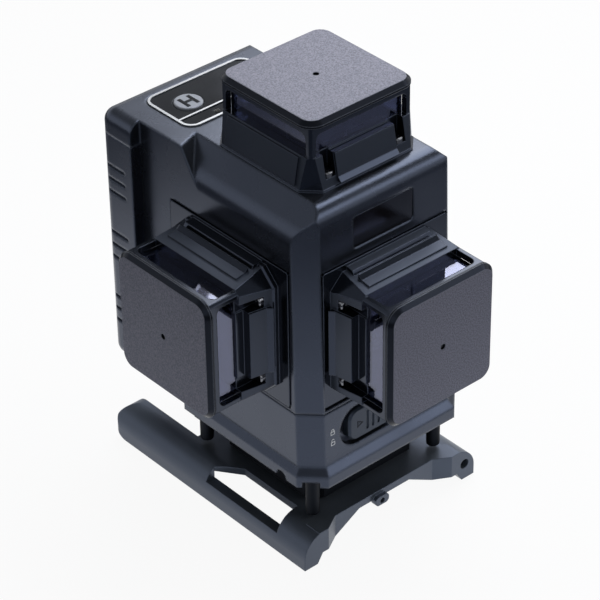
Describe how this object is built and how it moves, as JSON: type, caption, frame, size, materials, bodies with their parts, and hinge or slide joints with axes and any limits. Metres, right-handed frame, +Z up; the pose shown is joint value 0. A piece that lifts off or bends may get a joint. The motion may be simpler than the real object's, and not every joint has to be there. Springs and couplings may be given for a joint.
{
  "type": "line laser level",
  "caption": "Self-levelling laser level with lens heads on top, front and side, a keypad and a sliding lock, turning on a flat base with rails and strap windows",
  "frame": {"origin": "mouth of the tripod thread under the base, on the swivel axis, level with the floor", "axes": "+Z up, -Y out of the front with the lock switch, -X out of the side lens head"},
  "size_m": [0.1062, 0.1305, 0.1683],
  "materials": {
    "housing_plastic": "satin",
    "collar_plastic": "satin",
    "cap_plastic": "satin",
    "window_glass": "gloss",
    "prism_glass": "gloss",
    "base_plastic": "satin",
    "block_plastic": "matte",
    "keypad_gloss": "gloss",
    "silver_trim": "satin",
    "indicator_lens": "gloss",
    "key_plastic": "satin",
    "plate_gloss": "gloss",
    "slider_plastic": "satin",
    "battery_plastic": "satin",
    "board": "satin",
    "screw_steel": "satin",
    "turned_steel": "satin",
    "magnet": "polished",
    "alloy": "satin",
    "brass": "satin",
    "nylon": "matte",
    "pad_rubber": "matte"
  },
  "bodies": {
    "base": {"base_frame": "base_plastic", "rail_pads": "pad_rubber", "swivel_spindle": "turned_steel", "spindle_screws": "screw_steel", "thrust_washer": "nylon", "wave_washer": "turned_steel", "spindle_nut": "turned_steel"},
    "laser_body": {"upper_housing": "housing_plastic", "lower_housing": "housing_plastic", "rear_cover": "housing_plastic", "top_collar": "collar_plastic", "front_collar": "collar_plastic", "side_collar": "collar_plastic", "top_cap": "cap_plastic", "front_cap": "cap_plastic", "side_cap": "cap_plastic", "top_windows": "window_glass", "front_windows": "window_glass", "side_windows": "window_glass", "swivel_block": "block_plastic", "corner_feet": "block_plastic", "keypad_panel": "keypad_gloss", "keypad_trim": "silver_trim", "indicator_lenses": "indicator_lens", "label_plate": "plate_gloss", "main_board": "board", "key_board": "board", "top_head_screws": "screw_steel", "front_head_screws": "screw_steel", "side_head_screws": "screw_steel", "rear_screws": "screw_steel", "case_screws": "screw_steel", "block_screws": "screw_steel", "lever_pin": "turned_steel", "hanger_bearings": "turned_steel", "magnet_bridge": "turned_steel", "damping_magnets": "magnet", "gimbal_hanger": "alloy", "battery_contacts": "brass"},
    "gimbal_ring": {"gimbal_ring": "alloy", "ring_pins": "turned_steel", "ring_bearings": "turned_steel"},
    "pendulum": {"pendulum_frame": "alloy", "pendulum_pins": "turned_steel", "top_laser_module": "alloy", "front_laser_module": "alloy", "side_laser_module": "alloy", "top_prism": "prism_glass", "front_prism": "prism_glass", "side_prism": "prism_glass", "balance_weight": "brass", "damping_plate": "brass"},
    "lock_slider": {"lock_slider": "slider_plastic", "slider_clip": "slider_plastic"},
    "lock_lever": {"lock_lever": "slider_plastic"},
    "mode_key": {"mode_key": "key_plastic"},
    "power_key": {"power_key": "key_plastic"},
    "battery": {"battery_pack": "battery_plastic"}
  },
  "joints": [
    {"name": "swivel", "type": "hinge", "parent": "base", "child": "laser_body", "pos_m": [0, 0, 0.02], "axis": [0, 0, 1], "continuous": true},
    {"name": "ring_rock", "type": "hinge", "parent": "laser_body", "child": "gimbal_ring", "pos_m": [0, 0, 0.119], "axis": [1, 0, 0], "range_deg": [-3.5, 3.5]},
    {"name": "pendulum_rock", "type": "hinge", "parent": "gimbal_ring", "child": "pendulum", "pos_m": [0, 0, 0.119], "axis": [0, 1, 0], "range_deg": [-3.5, 3.5]},
    {"name": "lock_slide", "type": "slide", "parent": "laser_body", "child": "lock_slider", "axis": [1, 0, 0], "range_m": [0, 0.008]},
    {"name": "lock_lift", "type": "hinge", "parent": "laser_body", "child": "lock_lever", "pos_m": [-0.007, -0.025, 0.04], "axis": [1, 0, 0], "range_deg": [0, 12]},
    {"name": "mode_press", "type": "slide", "parent": "laser_body", "child": "mode_key", "axis": [0, 0, -1], "range_m": [0, 0.0007], "stiffness_N_per_m": 1500, "springref_m": -0.0005},
    {"name": "power_press", "type": "slide", "parent": "laser_body", "child": "power_key", "axis": [0, 0, -1], "range_m": [0, 0.0007], "stiffness_N_per_m": 1500, "springref_m": -0.0005},
    {"name": "battery_slide", "type": "slide", "parent": "laser_body", "child": "battery", "axis": [0, 1, 0], "range_m": [0, 0.03]}
  ],
  "couplings": [
    {"joint": "lock_lift", "follows": "lock_slide", "rad_per_m": 26.18}
  ]
}
